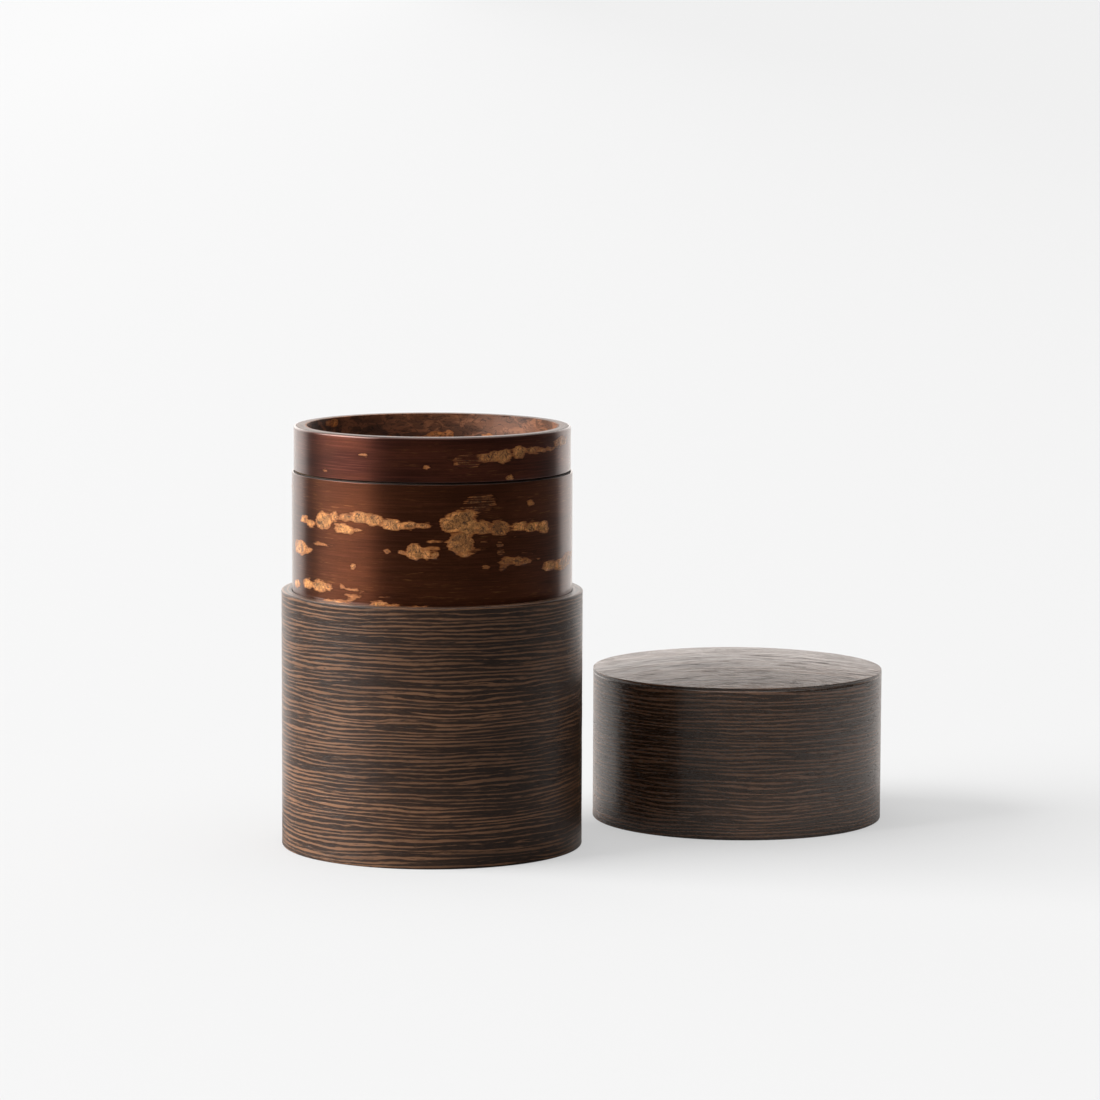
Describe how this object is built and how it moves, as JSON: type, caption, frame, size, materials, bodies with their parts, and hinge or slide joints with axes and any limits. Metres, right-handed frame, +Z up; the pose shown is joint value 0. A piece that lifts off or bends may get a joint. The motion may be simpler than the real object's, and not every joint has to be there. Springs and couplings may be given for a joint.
{
  "type": "tea caddy",
  "caption": "Round tea caddy: striped hardwood sleeve around a cherry-bark canister, cup-shaped inner lid in its mouth, and a domed outer lid set down beside it.",
  "frame": {"origin": "centre of the caddy's foot, on the surface it stands on", "axes": "+Z up along the caddy's own axis; +X to the side the outer lid is set down on; +Y towards the back, where the outer lid also stands a little"},
  "size_m": [0.1636, 0.1211, 0.112],
  "materials": {
    "striped_hardwood": "satin oiled dark hardwood with fine wavy stripes that run around the wall",
    "straight_hardwood": "satin oiled dark hardwood veneer with straight parallel grain",
    "polished_bark": "polished cherry bark with glossy ground and raised tan lenticels",
    "lining_bark": "rough matt cherry bark lining",
    "core_wood": "plain light wood, fine straight grain, matt",
    "base_wood": "satin dark hardwood"
  },
  "bodies": {
    "caddy": {"base_plate": "base_wood", "body_wood_sleeve": "striped_hardwood", "canister_core": "core_wood", "canister_bark_wrap": "polished_bark", "canister_bark_lining": "lining_bark", "canister_floor_bark": "lining_bark"},
    "inner_lid": {"inner_lid_rim_core": "core_wood", "inner_lid_plug": "core_wood", "inner_lid_bark_wrap": "polished_bark", "inner_lid_bark_lining": "lining_bark", "inner_lid_floor_bark": "lining_bark", "inner_lid_underside_bark": "lining_bark"},
    "outer_lid": {"outer_lid_wood_sleeve": "striped_hardwood", "outer_lid_top_veneer": "straight_hardwood", "outer_lid_top_core": "core_wood", "outer_lid_bark_lining": "lining_bark", "outer_lid_ceiling_bark": "lining_bark"}
  },
  "joints": [
    {"name": "inner_lid_lift", "type": "slide", "parent": "caddy", "child": "inner_lid", "axis": [0, 0, 1], "range_m": [0, 0.04]},
    {"name": "outer_lid_lift", "type": "slide", "parent": "caddy", "child": "outer_lid", "axis": [0, 0, 1], "range_m": [0, 0.115]}
  ]
}
